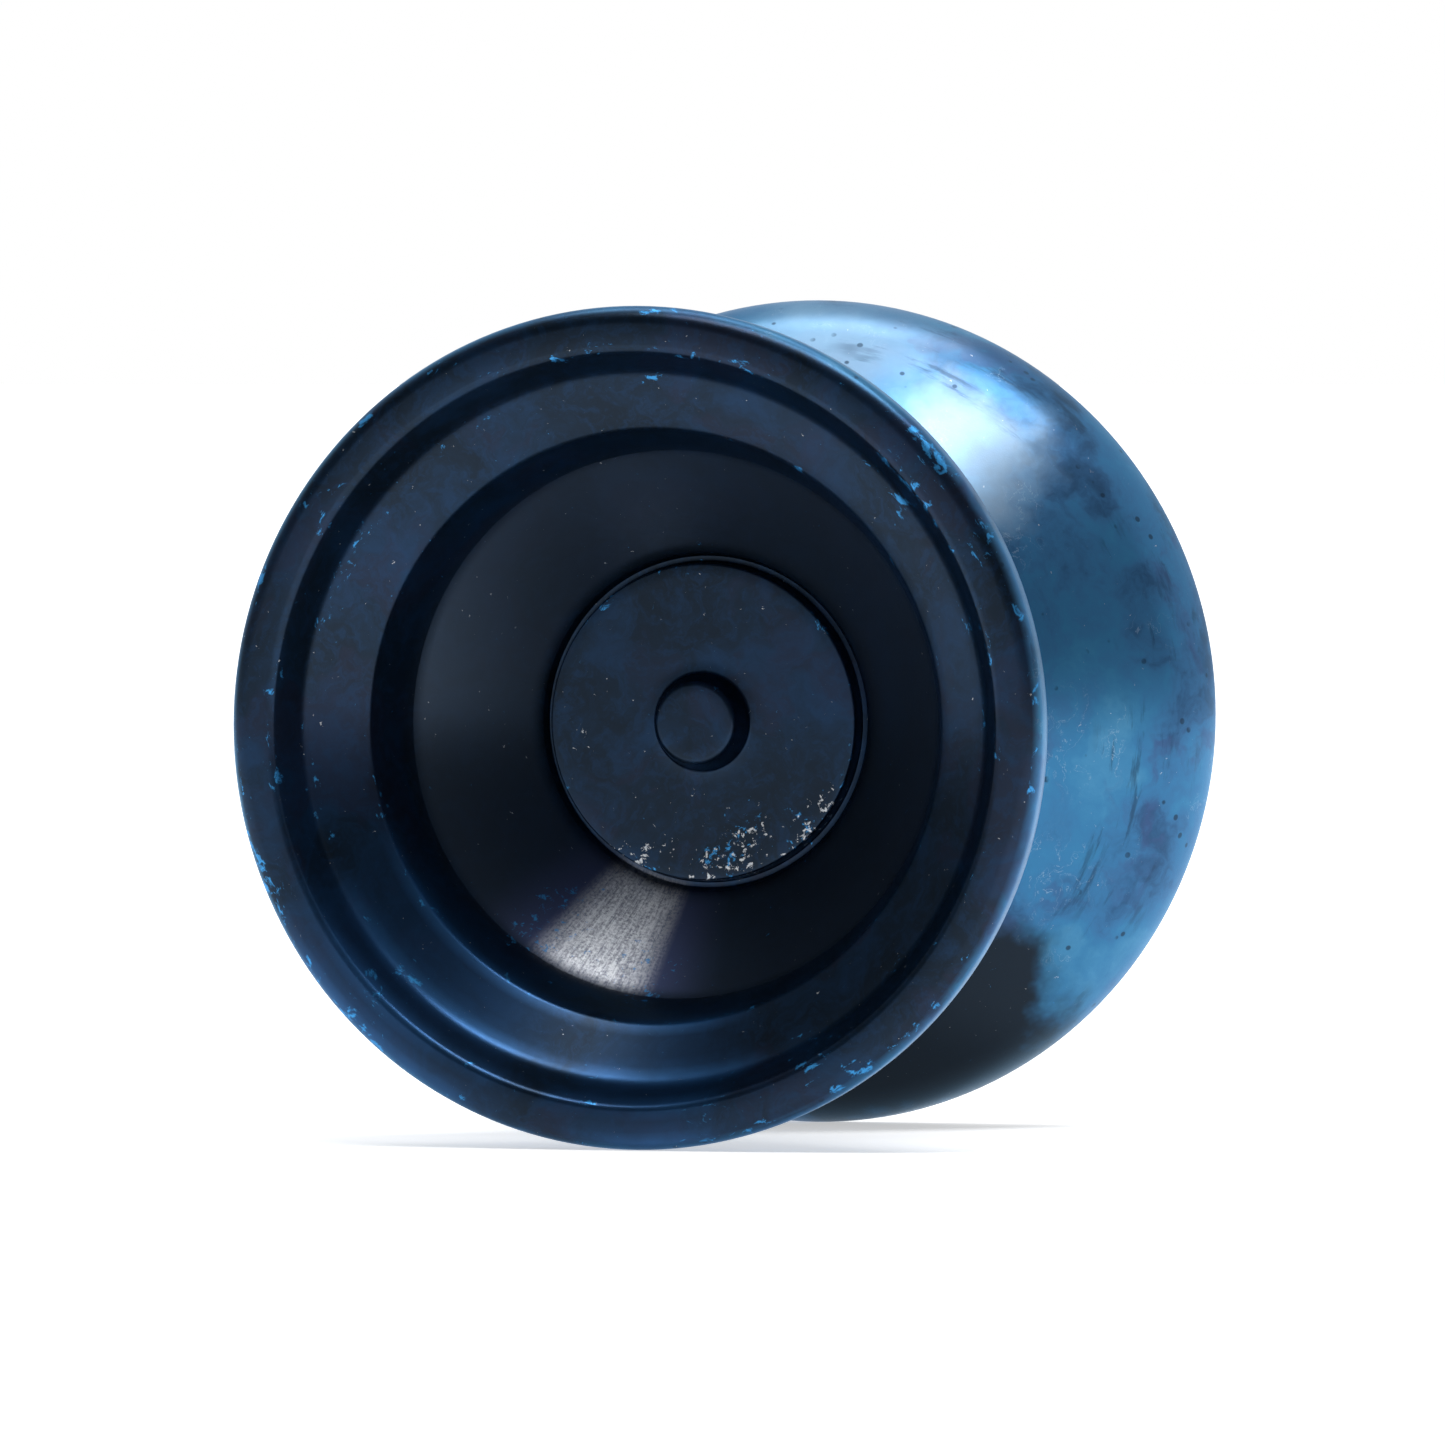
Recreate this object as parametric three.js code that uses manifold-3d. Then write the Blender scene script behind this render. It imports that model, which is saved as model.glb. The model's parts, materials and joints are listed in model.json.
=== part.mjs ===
// A bearing yo-yo: two turned aluminium halves on a threaded axle, with a shielded ball bearing between them
// and a silicone response pad in each half. Millimetres, +Z up. It turns about Y: the front half is at -Y, the
// rear half at +Y, and the origin is the centre of the yo-yo, in the middle of the string gap.
import * as THREE from "three";
import { mergeVertices } from "three/addons/utils/BufferGeometryUtils.js";
import Module from "manifold-3d";

const wasm = await Module();
wasm.setup();

// ---- Driving dimensions ----
// Every height below is a distance from the middle of the string gap, along the axis.
const RIM_RADIUS = 28;
const HALF_WIDTH = 22.8;
const GAP_HALF = 2.2;

// Outside of a half: a flat response wall, a long bell, and the rounded shoulder and corner of the rim.
const WALL_RADIUS = 10.3;
const SHOULDER = { radius: 7.5, angle: 43 };
const CORNER_RADIUS = 1.2;

// Inside of a cup, from the rim to the hub.
const LIP = { radius: 24.95, round: 0.6 };
const STEP = { radius: 24, height: 20.4 };
const STEP_FILLET = { radius: 23.2, height: 19.6 };
const RING = { radius: 20, height: 17.6, round: 0.35 };
const BOWL = { radius: 18.3, height: 12.7 };
const BOWL_FOOT = { radius: 11.35, height: 5.5 };
const GROOVE = { outer: 11.15, inner: 10.75, height: 4.8 };
const DISC = { radius: 10.6, height: 6.2, chamfer: 0.15 };
const NUB = { foot: 3.3, radius: 2.75, height: 8.2, round: 0.35 };

// Gap side of a half: axle bore, bearing post, clamping shoulder, bearing relief and pad recess.
const BORE = { radius: 2.06, bottom: 7.2, mouth: 2.4 };
const POST = { radius: 3.1, tip: 0.55, chamfer: 0.15 };
const CLAMP = { radius: 4, height: 2.42 };
const RELIEF = { radius: 6.6, height: 2.85 };
const PAD = { inner: 7.1, outer: 9.55, depth: 1.05, clearance: 0.05, below: 0.1, bevel: 0.12 };

// Size C bearing, 1/4 x 1/2 x 3/16 inch, with ten 1/16 inch balls.
const INCH = 25.4;
const BEARING = { bore: INCH / 8, outer: INCH / 4, halfWidth: (INCH * 3) / 32, chamfer: 0.2 };
const BALL = { radius: INCH / 32, count: 10, pitch: (BEARING.bore + BEARING.outer) / 2 };
const RACEWAY = { radius: 0.87, clearance: 0.05, halfWidth: 0.62 };
const SHIELD_SEAT = 1.72;
const INNER_RACE = { land: 4.2, step: 4 };
const OUTER_RACE = { land: 5.34, seat: 5.78 };
const SHIELD = { inner: 4.13, outer: 5.7, thickness: 0.16, height: 1.78 };
const SNAP_RING = { inner: 5.3, outer: 5.72, thickness: 0.2, height: 1.98, opening: 16 };
const CAGE = { inner: 4.42, outer: 5.12, low: -0.3, high: 1.35, pocket: 0.87 };

// Axle: an M4 grub screw with a hexagon socket in its rear end.
const AXLE = { radius: 2, halfLength: 7, chamfer: 0.35, acrossFlats: 2, socketDepth: 2 };

// Sides of the turned solids. They are even, so that flats face straight down and sideways.
const HALF_SIDES = 48;
const BEARING_SIDES = 24;
const RACEWAY_STEPS = 4;

const ANODISED = { color: 0x16345c, roughness: 0.42, metalness: 0.85 };
const STEEL = { color: 0xb9bcc0, roughness: 0.25, metalness: 1 };
const BLACK_STEEL = { color: 0x3c3e42, roughness: 0.4, metalness: 1 };
const BRASS = { color: 0xb08d4c, roughness: 0.4, metalness: 1 };
const SILICONE = { color: 0xe6e4dc, roughness: 0.6, metalness: 0 };

const rad = THREE.MathUtils.degToRad;
const deg = THREE.MathUtils.radToDeg;

// ---- Profiles and solids ----

// Points of a circular arc in (radius, height), from one angle to another in degrees.
function arc(centre, radius, from, to, steps) {
  return Array.from({ length: steps + 1 }, (_, i) => {
    const angle = rad(from + ((to - from) * i) / steps);
    return [centre[0] + radius * Math.cos(angle), centre[1] + radius * Math.sin(angle)];
  });
}

// A solid of revolution about Y. Its flats touch the true circle, and one of them faces straight down.
function turned(profile, sides) {
  const outward = 1 / Math.cos(Math.PI / sides);
  const points = profile.map(([r, y]) => new THREE.Vector2(r * outward, y));
  return new THREE.LatheGeometry(points, sides, Math.PI / sides, 2 * Math.PI);
}

function turnedRing(profile, sides) {
  return turned([...profile, profile[0]], sides);
}

function toSolid(geometry) {
  const bare = geometry.clone();
  bare.deleteAttribute("normal");
  bare.deleteAttribute("uv");
  const merged = mergeVertices(bare, 1e-4);
  const numProp = 3;
  const vertProperties = merged.attributes.position.array;
  const triVerts = new Uint32Array(merged.index.array);
  return new wasm.Manifold(new wasm.Mesh({ numProp, vertProperties, triVerts }));
}

function toGeometry(solid) {
  const made = solid.getMesh();
  const geometry = new THREE.BufferGeometry();
  geometry.setAttribute("position", new THREE.BufferAttribute(made.vertProperties, 3));
  geometry.setIndex(new THREE.BufferAttribute(made.triVerts, 1));
  return geometry;
}

function node(name, geometry, look) {
  const mesh = new THREE.Mesh(geometry, new THREE.MeshStandardMaterial(look));
  mesh.name = name;
  return mesh;
}

// ---- The halves ----

function gapSide() {
  const padFloor = GAP_HALF + PAD.depth;
  return [
    [0, BORE.bottom],
    [BORE.radius, BORE.bottom],
    [BORE.radius, POST.tip + BORE.mouth - BORE.radius],
    [BORE.mouth, POST.tip],
    [POST.radius - POST.chamfer, POST.tip],
    [POST.radius, POST.tip + POST.chamfer],
    [POST.radius, CLAMP.height],
    [CLAMP.radius, CLAMP.height],
    [CLAMP.radius, RELIEF.height],
    [RELIEF.radius, RELIEF.height],
    [RELIEF.radius, GAP_HALF],
    [PAD.inner, GAP_HALF],
    [PAD.inner, padFloor],
    [PAD.outer, padFloor],
    [PAD.outer, GAP_HALF],
  ];
}

// The bell is the arc that leaves the response wall's edge and runs smoothly into the shoulder's arc.
function bell() {
  const widest = HALF_WIDTH - CORNER_RADIUS;
  const shoulder = [RIM_RADIUS - SHOULDER.radius, widest];
  const blend = new THREE.Vector2(Math.cos(rad(-SHOULDER.angle)), Math.sin(rad(-SHOULDER.angle)));
  const across = new THREE.Vector2(shoulder[0] - WALL_RADIUS, shoulder[1] - GAP_HALF);
  const along = across.dot(blend);
  const radius =
    (across.lengthSq() + 2 * SHOULDER.radius * along + SHOULDER.radius ** 2) / (2 * (along + SHOULDER.radius));
  const reach = SHOULDER.radius - radius;
  const centre = [shoulder[0] + reach * blend.x, shoulder[1] + reach * blend.y];
  const start = deg(Math.atan2(GAP_HALF - centre[1], WALL_RADIUS - centre[0]));
  return [
    ...arc(centre, radius, start, -SHOULDER.angle, 4),
    ...arc(shoulder, SHOULDER.radius, -SHOULDER.angle, 0, 4).slice(1),
    ...arc([RIM_RADIUS - CORNER_RADIUS, widest], CORNER_RADIUS, 0, 90, 3).slice(1),
  ];
}

function cup() {
  return [
    ...arc([LIP.radius + LIP.round, HALF_WIDTH - LIP.round], LIP.round, 90, 180, 3),
    [STEP.radius, STEP.height],
    [STEP_FILLET.radius, STEP_FILLET.height],
    [RING.radius + RING.round, RING.height + RING.round],
    [RING.radius - RING.round / 3, RING.height - RING.round],
    [BOWL.radius, BOWL.height],
    [BOWL_FOOT.radius, BOWL_FOOT.height],
    [GROOVE.outer, GROOVE.height],
    [GROOVE.inner, GROOVE.height],
    [DISC.radius, DISC.height - DISC.chamfer],
    [DISC.radius - DISC.chamfer, DISC.height],
    [NUB.foot, DISC.height],
    [NUB.radius, NUB.height - NUB.round],
    [NUB.radius - NUB.round, NUB.height],
    [0, NUB.height],
  ];
}

function halfGeometry() {
  return turned([...gapSide(), ...bell(), ...cup()], HALF_SIDES);
}

function padGeometry() {
  const inner = PAD.inner + PAD.clearance;
  const outer = PAD.outer - PAD.clearance;
  const low = GAP_HALF + PAD.below;
  const high = GAP_HALF + PAD.depth - PAD.clearance;
  const profile = [
    [inner + PAD.bevel, low],
    [outer - PAD.bevel, low],
    [outer, low + PAD.bevel],
    [outer, high],
    [inner, high],
    [inner, low + PAD.bevel],
  ];
  return turnedRing(profile, HALF_SIDES);
}

// ---- The bearing ----

// The groove that the balls run in, from low to high: side is -1 on the inner race and 1 on the outer race.
function raceway(side) {
  const bottom = BALL.pitch + side * (BALL.radius + RACEWAY.clearance);
  const centre = bottom - side * RACEWAY.radius;
  return Array.from({ length: RACEWAY_STEPS + 1 }, (_, i) => {
    const y = RACEWAY.halfWidth * ((2 * i) / RACEWAY_STEPS - 1);
    return [centre + side * Math.sqrt(RACEWAY.radius ** 2 - y ** 2), y];
  });
}

function innerRaceGeometry() {
  const { bore, halfWidth, chamfer } = BEARING;
  const { land, step } = INNER_RACE;
  const profile = [
    [bore, -halfWidth + chamfer],
    [bore + chamfer, -halfWidth],
    [step, -halfWidth],
    [step, -SHIELD_SEAT],
    [land, -SHIELD_SEAT],
    ...raceway(-1),
    [land, SHIELD_SEAT],
    [step, SHIELD_SEAT],
    [step, halfWidth],
    [bore + chamfer, halfWidth],
    [bore, halfWidth - chamfer],
  ];
  return turnedRing(profile, BEARING_SIDES);
}

function outerRaceGeometry() {
  const { outer, halfWidth, chamfer } = BEARING;
  const { land, seat } = OUTER_RACE;
  const profile = [
    [outer, -halfWidth + chamfer],
    [outer, halfWidth - chamfer],
    [outer - chamfer, halfWidth],
    [seat, halfWidth],
    [seat, SHIELD_SEAT],
    [land, SHIELD_SEAT],
    ...raceway(1).reverse(),
    [land, -SHIELD_SEAT],
    [seat, -SHIELD_SEAT],
    [seat, -halfWidth],
    [outer - chamfer, -halfWidth],
  ];
  return turnedRing(profile, BEARING_SIDES);
}

function shieldGeometry() {
  const { inner, outer, thickness, height } = SHIELD;
  const profile = [
    [inner, height],
    [outer, height],
    [outer, height + thickness],
    [inner, height + thickness],
  ];
  return turnedRing(profile, BEARING_SIDES);
}

// A flat C: a ring with a narrow opening at the top.
function snapRingGeometry() {
  const { inner, outer, thickness, height, opening } = SNAP_RING;
  const from = rad(90 + opening / 2);
  const to = rad(450 - opening / 2);
  const shape = new THREE.Shape();
  shape.absarc(0, 0, outer, from, to, false);
  shape.absarc(0, 0, inner, to, from, true);
  const options = { depth: thickness, bevelEnabled: false, curveSegments: 20 };
  const geometry = new THREE.ExtrudeGeometry(shape, options);
  geometry.rotateX(Math.PI / 2);
  geometry.translate(0, height + thickness, 0);
  return geometry;
}

function ballPlace(index) {
  const angle = (2 * Math.PI * (index + 0.5)) / BALL.count;
  return new THREE.Vector3(BALL.pitch * Math.sin(angle), 0, BALL.pitch * Math.cos(angle));
}

// A crown retainer: a ring with a round pocket for each ball, open on one side.
function cageGeometry() {
  const { inner, outer, low, high, pocket } = CAGE;
  const profile = [
    [inner, low],
    [outer, low],
    [outer, high],
    [inner, high],
  ];
  let solid = toSolid(turnedRing(profile, 2 * BALL.count));
  for (let i = 0; i < BALL.count; i += 1) {
    const hollow = new THREE.SphereGeometry(pocket, 10, 6);
    hollow.translate(...ballPlace(i).toArray());
    solid = solid.subtract(toSolid(hollow));
  }
  return toGeometry(solid);
}

// A piece that comes once on each side: the rear one, and its copy turned half round to the front.
function pair(suffix, geometry, look) {
  const front = node(`front_${suffix}`, geometry, look);
  front.rotation.z = Math.PI;
  return [front, node(`rear_${suffix}`, geometry, look)];
}

function bearing() {
  const group = new THREE.Group();
  group.add(node("bearing_inner_race", innerRaceGeometry(), STEEL));
  group.add(node("bearing_outer_race", outerRaceGeometry(), STEEL));
  group.add(node("bearing_cage", cageGeometry(), BRASS));
  group.add(...pair("bearing_shield", shieldGeometry(), STEEL));
  group.add(...pair("bearing_snap_ring", snapRingGeometry(), STEEL));
  const sphere = new THREE.SphereGeometry(BALL.radius, 10, 6);
  for (let i = 0; i < BALL.count; i += 1) {
    const ball = node(`bearing_ball_${String(i + 1).padStart(2, "0")}`, sphere, STEEL);
    ball.position.copy(ballPlace(i));
    group.add(ball);
  }
  return group;
}

// ---- The axle ----

function axleGeometry() {
  const { radius, halfLength, chamfer, acrossFlats, socketDepth } = AXLE;
  const profile = [
    [0, -halfLength],
    [radius - chamfer, -halfLength],
    [radius, -halfLength + chamfer],
    [radius, halfLength - chamfer],
    [radius - chamfer, halfLength],
    [0, halfLength],
  ];
  const corner = acrossFlats / Math.sqrt(3);
  const socket = new THREE.CylinderGeometry(corner, corner, 2 * socketDepth, 6);
  socket.translate(0, halfLength, 0);
  return toGeometry(toSolid(turned(profile, BEARING_SIDES)).subtract(toSolid(socket)));
}

const yoyo = new THREE.Group();
yoyo.add(...pair("half", halfGeometry(), ANODISED));
yoyo.add(...pair("response_pad", padGeometry(), SILICONE));
yoyo.add(bearing());
yoyo.add(node("axle", axleGeometry(), BLACK_STEEL));

export default yoyo;
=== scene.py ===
"""Looks of the yo-yo: turned halves in marbled anodising, a shielded bearing, a threaded axle, silicone pads.

Sizes are in millimetres. Heights are distances from the middle of the string gap, along the axis Y.
"""

import json
import math

import bmesh
import bpy
from mathutils import Matrix, Vector

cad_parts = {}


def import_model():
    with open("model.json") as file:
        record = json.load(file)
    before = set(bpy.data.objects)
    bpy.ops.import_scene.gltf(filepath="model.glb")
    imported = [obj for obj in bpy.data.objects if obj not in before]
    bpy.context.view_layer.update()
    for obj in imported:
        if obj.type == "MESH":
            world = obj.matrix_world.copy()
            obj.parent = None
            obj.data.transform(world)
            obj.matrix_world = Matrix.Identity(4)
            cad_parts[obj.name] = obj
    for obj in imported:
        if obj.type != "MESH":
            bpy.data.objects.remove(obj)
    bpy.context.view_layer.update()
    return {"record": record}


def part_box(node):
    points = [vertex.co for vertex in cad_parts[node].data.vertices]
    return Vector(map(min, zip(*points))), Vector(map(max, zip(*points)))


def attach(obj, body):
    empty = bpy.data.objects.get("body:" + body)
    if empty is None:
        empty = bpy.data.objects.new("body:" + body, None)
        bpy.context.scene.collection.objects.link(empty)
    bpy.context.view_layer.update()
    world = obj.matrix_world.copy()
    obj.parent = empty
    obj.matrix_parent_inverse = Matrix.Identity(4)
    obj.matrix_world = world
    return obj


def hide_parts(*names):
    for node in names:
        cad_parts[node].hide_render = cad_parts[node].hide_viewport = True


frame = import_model()

MM = 0.001
RECORD = frame["record"]
BODY_OF = {node: body for body, nodes in RECORD["behaviour"]["bodies"].items() for node in nodes}

# ---- Sizes ----

RIM_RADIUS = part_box("rear_half")[1].x / MM
HALF_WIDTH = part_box("rear_half")[1].y / MM
GAP_HALF = 2.2
WALL_RADIUS = 10.3
SHOULDER_RADIUS = 7.5
SHOULDER_ANGLE = 43
CORNER_RADIUS = 1.2

# Gap side of a half: axle bore, bearing post, clamping shoulder, bearing relief and pad recess.
BORE_RADIUS, BORE_BOTTOM = 2.06, 7.2
BORE_MOUTH_RADIUS, BORE_MOUTH_HEIGHT = 2.4, 0.9
POST_RADIUS, POST_TIP = 3.1, 0.55
CLAMP_RADIUS, CLAMP_HEIGHT = 4.0, 2.42
RELIEF_RADIUS, RELIEF_HEIGHT = 6.6, 2.85
PAD_INNER, PAD_OUTER, PAD_DEPTH = 7.1, 9.55, 1.05
PAD_CLEARANCE, PAD_BELOW = 0.05, 0.1
SOFTENED = 0.12

# Inside of a cup, from the rim to the hub. Corners are (radius, height).
LIP_RADIUS = 25.07
STEP = (23.64, 19.87)
RING_EDGE = (19.8, 17.47)
BOWL_TOP = (18.3, 12.7)
BOWL_FOOT = (11.35, 5.5)
GROOVE_OUTER, GROOVE_INNER, GROOVE_HEIGHT = 11.15, 10.75, 4.8
DISC_RADIUS, DISC_HEIGHT = 10.6, 6.2
NUB_FOOT, NUB_RADIUS, NUB_HEIGHT = 3.3, 2.75, 8.2

# Size C bearing, 1/4 x 1/2 x 3/16 inch, with ten 1/16 inch balls.
BALL_RADIUS = 25.4 / 32
BALL_COUNT = 10
PITCH_RADIUS = 25.4 * 3 / 16
BEARING_BORE = 25.4 / 8
BEARING_OUTER = 25.4 / 4
BEARING_HALF_WIDTH = 25.4 * 3 / 32
BEARING_CHAMFER = 0.2
RACEWAY_RADIUS, RACEWAY_REACH, RACEWAY_CLEARANCE = 0.87, 0.62, 0.05
INNER_LAND, INNER_STEP = 4.2, 4.0
OUTER_LAND, OUTER_SEAT = 5.34, 5.78
SHIELD_SEAT = 1.72
SHIELD_INNER, SHIELD_OUTER, SHIELD_LOW, SHIELD_HIGH = 4.13, 5.7, 1.78, 1.94
SNAP_INNER, SNAP_OUTER, SNAP_LOW, SNAP_HIGH = 5.3, 5.72, 1.98, 2.18
SNAP_OPENING = 16
CAGE_INNER, CAGE_OUTER, CAGE_LOW, CAGE_HIGH, CAGE_POCKET = 4.42, 5.12, -0.3, 1.35, 0.87

# M4 grub screw with a 2 mm hexagon socket.
AXLE_RADIUS, AXLE_HALF_LENGTH, AXLE_CHAMFER = 2.0, 7.0, 0.5
THREAD_PITCH, THREAD_DEPTH = 0.7, 0.4
SOCKET_FLATS, SOCKET_DEPTH = 2, 2

HALF_SEGMENTS = 192
BEARING_SEGMENTS = 96
BALL_SEGMENTS = 32
SNAP_SEGMENTS = 90
LONGEST_CUP_STEP = 0.8

# In degrees: the edges left sharp, and the steps of a fillet.
SHARP_ANGLE = 32
FILLET_STEP = 12

# Points closer to the axis than this lie on it.
ON_AXIS = 1e-6

# ---- Profiles ----


def arc(centre, radius, start, end, steps):
    """Points of a circular arc in (radius, height), from one angle to another in degrees."""
    points = []
    for i in range(steps + 1):
        angle = math.radians(start + (end - start) * i / steps)
        points.append((centre[0] + radius * math.cos(angle), centre[1] + radius * math.sin(angle)))
    return points


def rounded(corners, closed=False):
    """A line through corners (radius, height, fillet radius), with each fillet as a short arc."""
    points = []
    count = len(corners)
    for i, (r, y, fillet) in enumerate(corners):
        here = Vector((r, y))
        if fillet == 0 or (not closed and i in (0, count - 1)):
            points.append((r, y))
            continue
        before = (Vector(corners[i - 1][:2]) - here).normalized()
        after = (Vector(corners[(i + 1) % count][:2]) - here).normalized()
        half_angle = before.angle(after) / 2
        centre = here + (before + after).normalized() * fillet / math.sin(half_angle)
        start = here + before * fillet / math.tan(half_angle) - centre
        turn = start.angle_signed(here + after * fillet / math.tan(half_angle) - centre)
        steps = max(2, round(abs(math.degrees(turn)) / FILLET_STEP))
        for k in range(steps + 1):
            spoke = start.copy()
            spoke.rotate(Matrix.Rotation(-turn * k / steps, 2))
            points.append(tuple(centre + spoke))
    return points


def subdivided(points, longest):
    """The same line with its long stretches cut up, so that values at its points can change along them."""
    result = [points[0]]
    for (r0, y0), (r1, y1) in zip(points, points[1:]):
        parts = math.ceil(math.hypot(r1 - r0, y1 - y0) / longest)
        for i in range(1, parts + 1):
            result.append((r0 + (r1 - r0) * i / parts, y0 + (y1 - y0) * i / parts))
    return result


def gap_side():
    """From the bottom of the bore over the post, the shoulder, the relief and the pad recess to the bell."""
    floor = GAP_HALF + PAD_DEPTH
    return rounded([
        (0, BORE_BOTTOM, 0),
        (BORE_RADIUS, BORE_BOTTOM, 0),
        (BORE_RADIUS, BORE_MOUTH_HEIGHT, 0),
        (BORE_MOUTH_RADIUS, POST_TIP, 0),
        (POST_RADIUS, POST_TIP, SOFTENED),
        (POST_RADIUS, CLAMP_HEIGHT, 0),
        (CLAMP_RADIUS, CLAMP_HEIGHT, 0.06),
        (CLAMP_RADIUS, RELIEF_HEIGHT, 0),
        (RELIEF_RADIUS, RELIEF_HEIGHT, 0.08),
        (RELIEF_RADIUS, GAP_HALF, SOFTENED),
        (PAD_INNER, GAP_HALF, SOFTENED),
        (PAD_INNER, floor, 0),
        (PAD_OUTER, floor, 0),
        (PAD_OUTER, GAP_HALF, SOFTENED),
        (WALL_RADIUS, GAP_HALF, 0),
    ])


def bell():
    """The arc that leaves the edge of the response wall, then the shoulder's arc and the rim's corner."""
    widest = HALF_WIDTH - CORNER_RADIUS
    shoulder = Vector((RIM_RADIUS - SHOULDER_RADIUS, widest))
    blend = Vector((math.cos(math.radians(-SHOULDER_ANGLE)), math.sin(math.radians(-SHOULDER_ANGLE))))
    across = shoulder - Vector((WALL_RADIUS, GAP_HALF))
    along = across.dot(blend)
    radius = across.length_squared + 2 * SHOULDER_RADIUS * along + SHOULDER_RADIUS**2
    radius /= 2 * (along + SHOULDER_RADIUS)
    centre = shoulder + (SHOULDER_RADIUS - radius) * blend
    start = math.degrees(math.atan2(GAP_HALF - centre.y, WALL_RADIUS - centre.x))
    return [
        *arc(centre, radius, start, -SHOULDER_ANGLE, 24)[1:],
        *arc(shoulder, SHOULDER_RADIUS, -SHOULDER_ANGLE, 0, 14)[1:],
        *arc((RIM_RADIUS - CORNER_RADIUS, widest), CORNER_RADIUS, 0, 90, 10)[1:],
    ]


def cup():
    """From the rim land over the step, the ring, the steep wall, the bowl and the groove to the nub."""
    return rounded([
        (RIM_RADIUS - CORNER_RADIUS - 0.01, HALF_WIDTH, 0),
        (LIP_RADIUS, HALF_WIDTH, 0.6),
        (*STEP, 1.6),
        (*RING_EDGE, 0.6),
        (*BOWL_TOP, 0.25),
        (*BOWL_FOOT, SOFTENED),
        (GROOVE_OUTER, GROOVE_HEIGHT, 0.1),
        (GROOVE_INNER, GROOVE_HEIGHT, 0.1),
        (DISC_RADIUS, DISC_HEIGHT, 0.14),
        (NUB_FOOT, DISC_HEIGHT, 0.2),
        (NUB_RADIUS, NUB_HEIGHT, 0.4),
        (0, NUB_HEIGHT, 0),
    ])


# ---- Meshes ----


def make_object(name, bm, material):
    bmesh.ops.recalc_face_normals(bm, faces=bm.faces)
    mesh = bpy.data.meshes.new(name)
    bm.to_mesh(mesh)
    bm.free()
    mesh.shade_smooth()
    mesh.set_sharp_from_angle(angle=math.radians(SHARP_ANGLE))
    mesh.materials.append(material)
    made = bpy.data.objects.new(name, mesh)
    bpy.context.scene.collection.objects.link(made)
    return made


def turned_mesh(profile, segments, closed=False, marks=None):
    """A mesh turned about Y from (radius, height) points. marks holds their values in vertex layers."""
    bm = bmesh.new()
    layers = {key: bm.verts.layers.float.new(key) for key in (marks or {})}
    rings = []
    for index, (r, y) in enumerate(profile):
        count = 1 if r < ON_AXIS else segments
        ring = []
        for i in range(count):
            angle = 2 * math.pi * i / segments
            vert = bm.verts.new((r * MM * math.sin(angle), y * MM, r * MM * math.cos(angle)))
            for key, layer in layers.items():
                vert[layer] = marks[key][index]
            ring.append(vert)
        rings.append(ring)
    pairs = list(zip(rings, rings[1:]))
    if closed:
        pairs.append((rings[-1], rings[0]))
    for low, high in pairs:
        for i in range(segments):
            after = i + 1
            corners = [low[i % len(low)], low[after % len(low)], high[after % len(high)], high[i % len(high)]]
            corners = list(dict.fromkeys(corners))
            if len(corners) > 2:
                bm.faces.new(corners)
    return bm


def stand_for(piece, node):
    """Makes a piece ride its node's body and take the node's place."""
    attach(piece, BODY_OF[node])
    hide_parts(node)
    return piece


def turned_piece(node, profile, segments, material, front=False, closed=False, marks=None, at=(0, 0, 0)):
    """A turned piece in a node's place. Front pieces are half a turn round Z from rear ones."""
    bm = turned_mesh(profile, segments, closed, marks)
    if front:
        bmesh.ops.rotate(bm, verts=bm.verts, matrix=Matrix.Rotation(math.pi, 3, "Z"))
    bmesh.ops.translate(bm, verts=bm.verts, vec=at)
    return stand_for(make_object(node + "_turned", bm, material), node)


# ---- Shader helpers ----


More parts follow.
